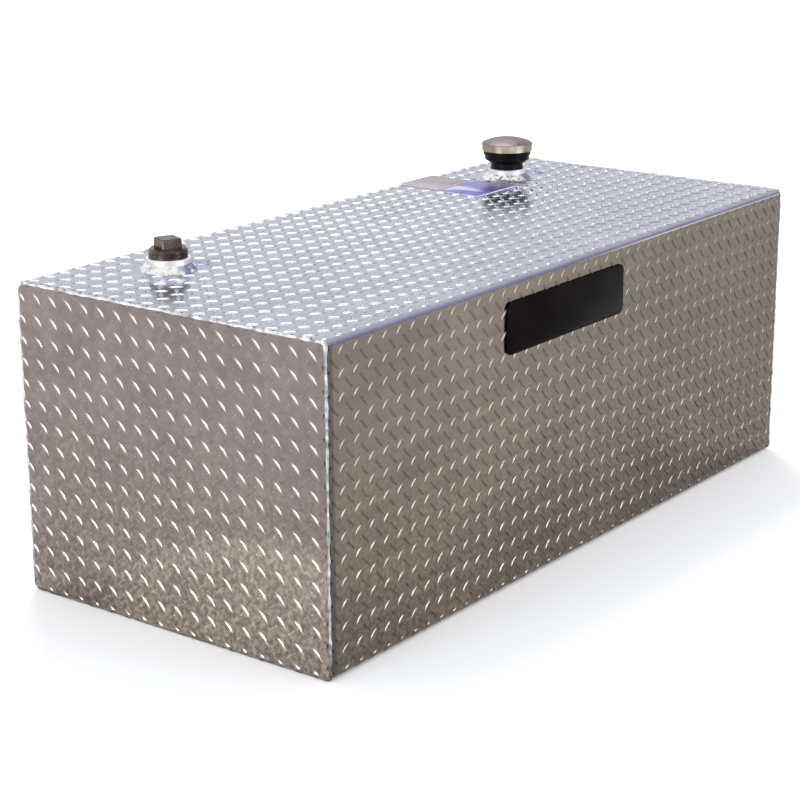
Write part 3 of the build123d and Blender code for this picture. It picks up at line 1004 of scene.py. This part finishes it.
# Two thin, bare metal plates on top beside the filler: the rear one warm grey, the front one
# purple, each crossed by a paler diagonal band that is a painted reflection. Each lies on a white
# foam pad that keeps it off the tread.
plate_round = 2 * mm
plate_edge = 0.45 * mm
pad_edge = 0.2 * mm
pad_margin = Vector((1.1 * mm, 1.1 * mm, 0))
white_foam, tree, shader = finish("white_foam", 0.0, 0.9)
pores = grain(tree, 700.0, 2.0)
coloured(tree, shader, pores, (0.3, (0.6, 0.6, 0.6)), (0.7, (0.85, 0.85, 0.85)))
relief(tree, shader, pores, 0.2 * mm)
for node_name, low_tone, high_tone, band_tone in (
    ("rear_plate", (0.3, 0.24, 0.28), (0.36, 0.29, 0.33), (0.42, 0.35, 0.39)),
    ("front_plate", (0.13, 0.11, 0.4), (0.2, 0.17, 0.52), (0.6, 0.58, 0.76)),
):
    thin_plate, tree, shader = finish(node_name + "_metal", 1.0, 0.34)
    brushed = grain(tree, 90.0, 3.0, stretch=(0.1, 1.0, 1.0))
    painted_sheen = grain(tree, 9.0, 2.0, stretch=(1.6, 0.5, 1.0), turn=(0, 0, math.radians(35)))
    plate_tone = tones(tree, brushed, (0.3, low_tone), (0.7, high_tone))
    plate_tone = blended(tree, spread(tree, painted_sheen, 0.5, 0.6, 0.0, 0.9), plate_tone, band_tone)
    tree.links.new(plate_tone, shader.inputs["Base Color"])
    relief(tree, shader, brushed, 0.02 * mm)
    low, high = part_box(node_name)
    sheet = rounded_plate(low, high, 2, plate_round, plate_edge)
    made = piece(node_name + "_sheet", sheet, thin_plate, "root", flat_angle)
    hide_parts(node_name)
    pad_low, pad_high = low - pad_margin, high + pad_margin
    pad_high.z, pad_low.z = low.z, tank_height
    pad = rounded_plate(pad_low, pad_high, 2, plate_round, pad_edge)
    made = piece(node_name + "_foam", pad, white_foam, "root")
    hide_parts(node_name + "_pad")
repaint("badge_pad", grey_foam)

# Studio: a pale floor just under the tank's lugs, a white surround, and three large soft lamps,
# one in front, one at the left and one high up at the back.
floor_mesh = bmesh.new()
bmesh.ops.create_grid(floor_mesh, x_segments=1, y_segments=1, size=30.0)
bmesh.ops.translate(floor_mesh, verts=floor_mesh.verts[:], vec=(0, 0, -lug_height - 0.2 * mm))
floor_data = bpy.data.meshes.new("studio_floor")
floor_mesh.to_mesh(floor_data)
floor_mesh.free()
floor = bpy.data.objects.new("studio_floor", floor_data)
bpy.context.collection.objects.link(floor)
pale, tree, shader = finish("pale_floor", 0.0, 0.9)
shader.inputs["Base Color"].default_value = (0.9, 0.9, 0.9, 1.0)
shader.inputs["Specular IOR Level"].default_value = 0.0
shader.inputs["Emission Color"].default_value = (1.0, 1.0, 1.0, 1.0)
floor_data.materials.append(pale)

world = bpy.data.worlds.new("white_surround")
world.use_nodes = True
surround = world.node_tree.nodes["Background"]
surround.inputs["Color"].default_value = (1.0, 1.0, 1.0, 1.0)
bpy.context.scene.world = world


def seen(tree, unseen, strength):
    """One light strength for camera, glossy and transmitted rays, and another for the rest."""
    ray = tree.nodes.new("ShaderNodeLightPath")
    shown = ray.outputs["Is Camera Ray"]
    for other in ("Is Glossy Ray", "Is Transmission Ray"):
        either = tree.nodes.new("ShaderNodeMath")
        either.operation = "MAXIMUM"
        tree.links.new(shown, either.inputs[0])
        tree.links.new(ray.outputs[other], either.inputs[1])
        shown = either.outputs[0]
    return spread(tree, shown, 0.0, 1.0, unseen, strength)


far_off = tree.nodes.new("ShaderNodeVectorMath")
far_off.operation = "LENGTH"
here = tree.nodes.new("ShaderNodeTexCoord")
tree.links.new(here.outputs["Object"], far_off.inputs[0])
fading = spread(tree, far_off.outputs["Value"], 2.2, 4.5, 0.0, 1.0)
lift = spread(tree, fading, 0.0, 1.0, 0.12, 0.6)
tree.links.new(times(tree, lift, seen(tree, 0.0, 1.0)), shader.inputs["Emission Strength"])
tree.links.new(seen(world.node_tree, 0.4, 1.0), surround.inputs["Strength"])


def soft_lamp(name, place, aim, width, height, watts, colour):
    """A flat rectangular lamp that faces a point."""
    lamp = bpy.data.lights.new(name, "AREA")
    lamp.color = colour
    lamp.shape = "RECTANGLE"
    lamp.size = width
    lamp.size_y = height
    lamp.energy = watts
    holder = bpy.data.objects.new(name, lamp)
    holder.location = place
    holder.rotation_euler = (Vector(aim) - Vector(place)).to_track_quat("-Z", "Y").to_euler()
    holder.visible_camera = False
    bpy.context.collection.objects.link(holder)


soft_lamp("front_lamp", (1.6, -9.0, 1.9), (1.6, 0, 1.9), 4.6, 2.8, 430, (0.7, 0.8, 1.0))
soft_lamp("left_lamp", (-9.2, 0.7, 2.2), (0, 0.7, 2.2), 4.2, 3.0, 430, (0.76, 0.86, 1.0))
soft_lamp("high_lamp", (3.4, 3.4, 7.9), (0, 0, 0.5), 2.4, 2.4, 230, (1.0, 1.0, 1.0))

camera_place = (-2.7551, -2.0193, 1.2355)
camera_angles = (-52.748, 16.821, -0.325)
view = bpy.data.cameras.new("photo_camera")
view.sensor_width = 36.0
view.lens = 93.80
camera = bpy.data.objects.new("photo_camera", view)
azimuth, elevation, roll = (math.radians(angle) for angle in camera_angles)
turned_to = Matrix.Rotation(azimuth, 4, "Z")
turned_to @= Matrix.Rotation(math.pi / 2 - elevation, 4, "X")
turned_to @= Matrix.Rotation(roll, 4, "Z")
camera.matrix_world = Matrix.Translation(camera_place) @ turned_to
bpy.context.collection.objects.link(camera)
bpy.context.scene.camera = camera
bpy.context.scene.view_settings.view_transform = "Standard"
